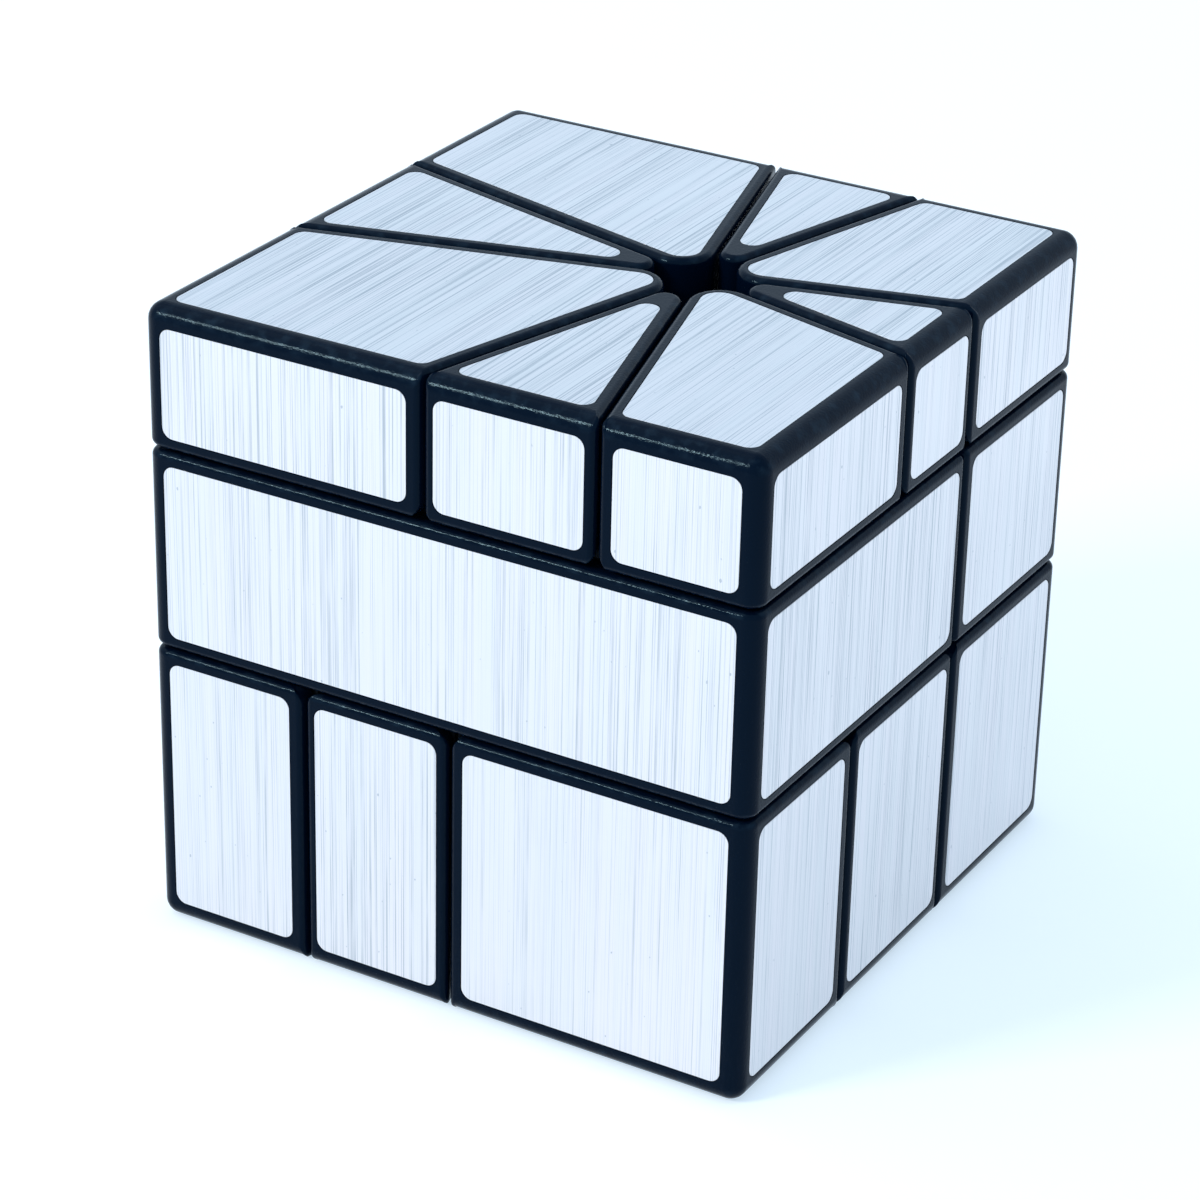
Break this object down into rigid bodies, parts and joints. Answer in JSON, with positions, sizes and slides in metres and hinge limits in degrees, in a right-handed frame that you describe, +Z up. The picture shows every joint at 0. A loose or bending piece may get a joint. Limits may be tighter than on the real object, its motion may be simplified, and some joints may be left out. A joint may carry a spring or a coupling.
{
  "type": "mirror block twisty puzzle",
  "caption": "Silver mirror-block cube puzzle with two offset turning layers and a slanted middle slice that flips.",
  "frame": {"origin": "middle of the bottom face, where the solved cube stands", "axes": "+X right along the front face, +Y to the back, +Z up"},
  "size_m": [0.057, 0.057, 0.057],
  "materials": {
    "cap_plastic": "satin black moulded plastic with a navy tint",
    "foot_plastic": "matt black moulded plastic",
    "frame_plastic": "matt black moulded plastic",
    "hub_plastic": "slightly polished black plastic",
    "black_screw": "black oxide steel",
    "bearing_steel": "zinc plated steel",
    "mirror_foil": "brushed silver foil, streaks along one direction"
  },
  "bodies": {
    "front_half": {"middle_front_cover": "cap_plastic", "middle_front_frame": "frame_plastic", "hub_top_front": "hub_plastic", "hub_bottom_front": "hub_plastic", "hub_screw_top_front": "black_screw", "hub_screw_bottom_front": "black_screw", "slice_screw": "bearing_steel", "slice_nut": "bearing_steel"},
    "back_half": {"middle_back_cover": "cap_plastic", "middle_back_frame": "frame_plastic", "hub_top_back": "hub_plastic", "hub_bottom_back": "hub_plastic", "hub_screw_top_back": "black_screw", "hub_screw_bottom_back": "black_screw", "slice_spring": "bearing_steel", "slice_washer": "bearing_steel"},
    "top_front_pieces": {"top_corner_front_left_cap": "cap_plastic", "top_corner_front_left_foot": "foot_plastic", "top_edge_front_cap": "cap_plastic", "top_edge_front_foot": "foot_plastic", "top_corner_front_right_cap": "cap_plastic", "top_corner_front_right_foot": "foot_plastic", "top_edge_right_cap": "cap_plastic", "top_edge_right_foot": "foot_plastic"},
    "top_back_pieces": {"top_corner_back_right_cap": "cap_plastic", "top_corner_back_right_foot": "foot_plastic", "top_edge_back_cap": "cap_plastic", "top_edge_back_foot": "foot_plastic", "top_corner_back_left_cap": "cap_plastic", "top_corner_back_left_foot": "foot_plastic", "top_edge_left_cap": "cap_plastic", "top_edge_left_foot": "foot_plastic"},
    "bottom_front_pieces": {"bottom_corner_front_left_cap": "cap_plastic", "bottom_corner_front_left_foot": "foot_plastic", "bottom_edge_front_cap": "cap_plastic", "bottom_edge_front_foot": "foot_plastic", "bottom_corner_front_right_cap": "cap_plastic", "bottom_corner_front_right_foot": "foot_plastic", "bottom_edge_right_cap": "cap_plastic", "bottom_edge_right_foot": "foot_plastic"},
    "bottom_back_pieces": {"bottom_corner_back_right_cap": "cap_plastic", "bottom_corner_back_right_foot": "foot_plastic", "bottom_edge_back_cap": "cap_plastic", "bottom_edge_back_foot": "foot_plastic", "bottom_corner_back_left_cap": "cap_plastic", "bottom_corner_back_left_foot": "foot_plastic", "bottom_edge_left_cap": "cap_plastic", "bottom_edge_left_foot": "foot_plastic"}
  },
  "joints": [
    {"name": "slice_turn", "type": "hinge", "parent": "front_half", "child": "back_half", "pos_m": [0, 0, 0.0352], "axis": [-0.2588, 0.9659, 0], "range_deg": [-180, 180]},
    {"name": "top_turn", "type": "hinge", "parent": "front_half", "child": "top_front_pieces", "pos_m": [0.0062, 0.00166, 0.0443], "axis": [0, 0, 1], "range_deg": [-180, 180]},
    {"name": "top_turn_back", "type": "hinge", "parent": "back_half", "child": "top_back_pieces", "pos_m": [0.0062, 0.00166, 0.0443], "axis": [0, 0, 1], "range_deg": [-180, 180]},
    {"name": "bottom_turn", "type": "hinge", "parent": "front_half", "child": "bottom_front_pieces", "pos_m": [-0.0062, -0.00166, 0.0261], "axis": [0, 0, 1], "range_deg": [-180, 180]},
    {"name": "bottom_turn_back", "type": "hinge", "parent": "back_half", "child": "bottom_back_pieces", "pos_m": [-0.0062, -0.00166, 0.0261], "axis": [0, 0, 1], "range_deg": [-180, 180]}
  ],
  "couplings": [
    {"joint": "top_turn_back", "follows": "top_turn", "ratio": 1},
    {"joint": "bottom_turn_back", "follows": "bottom_turn", "ratio": 1}
  ]
}
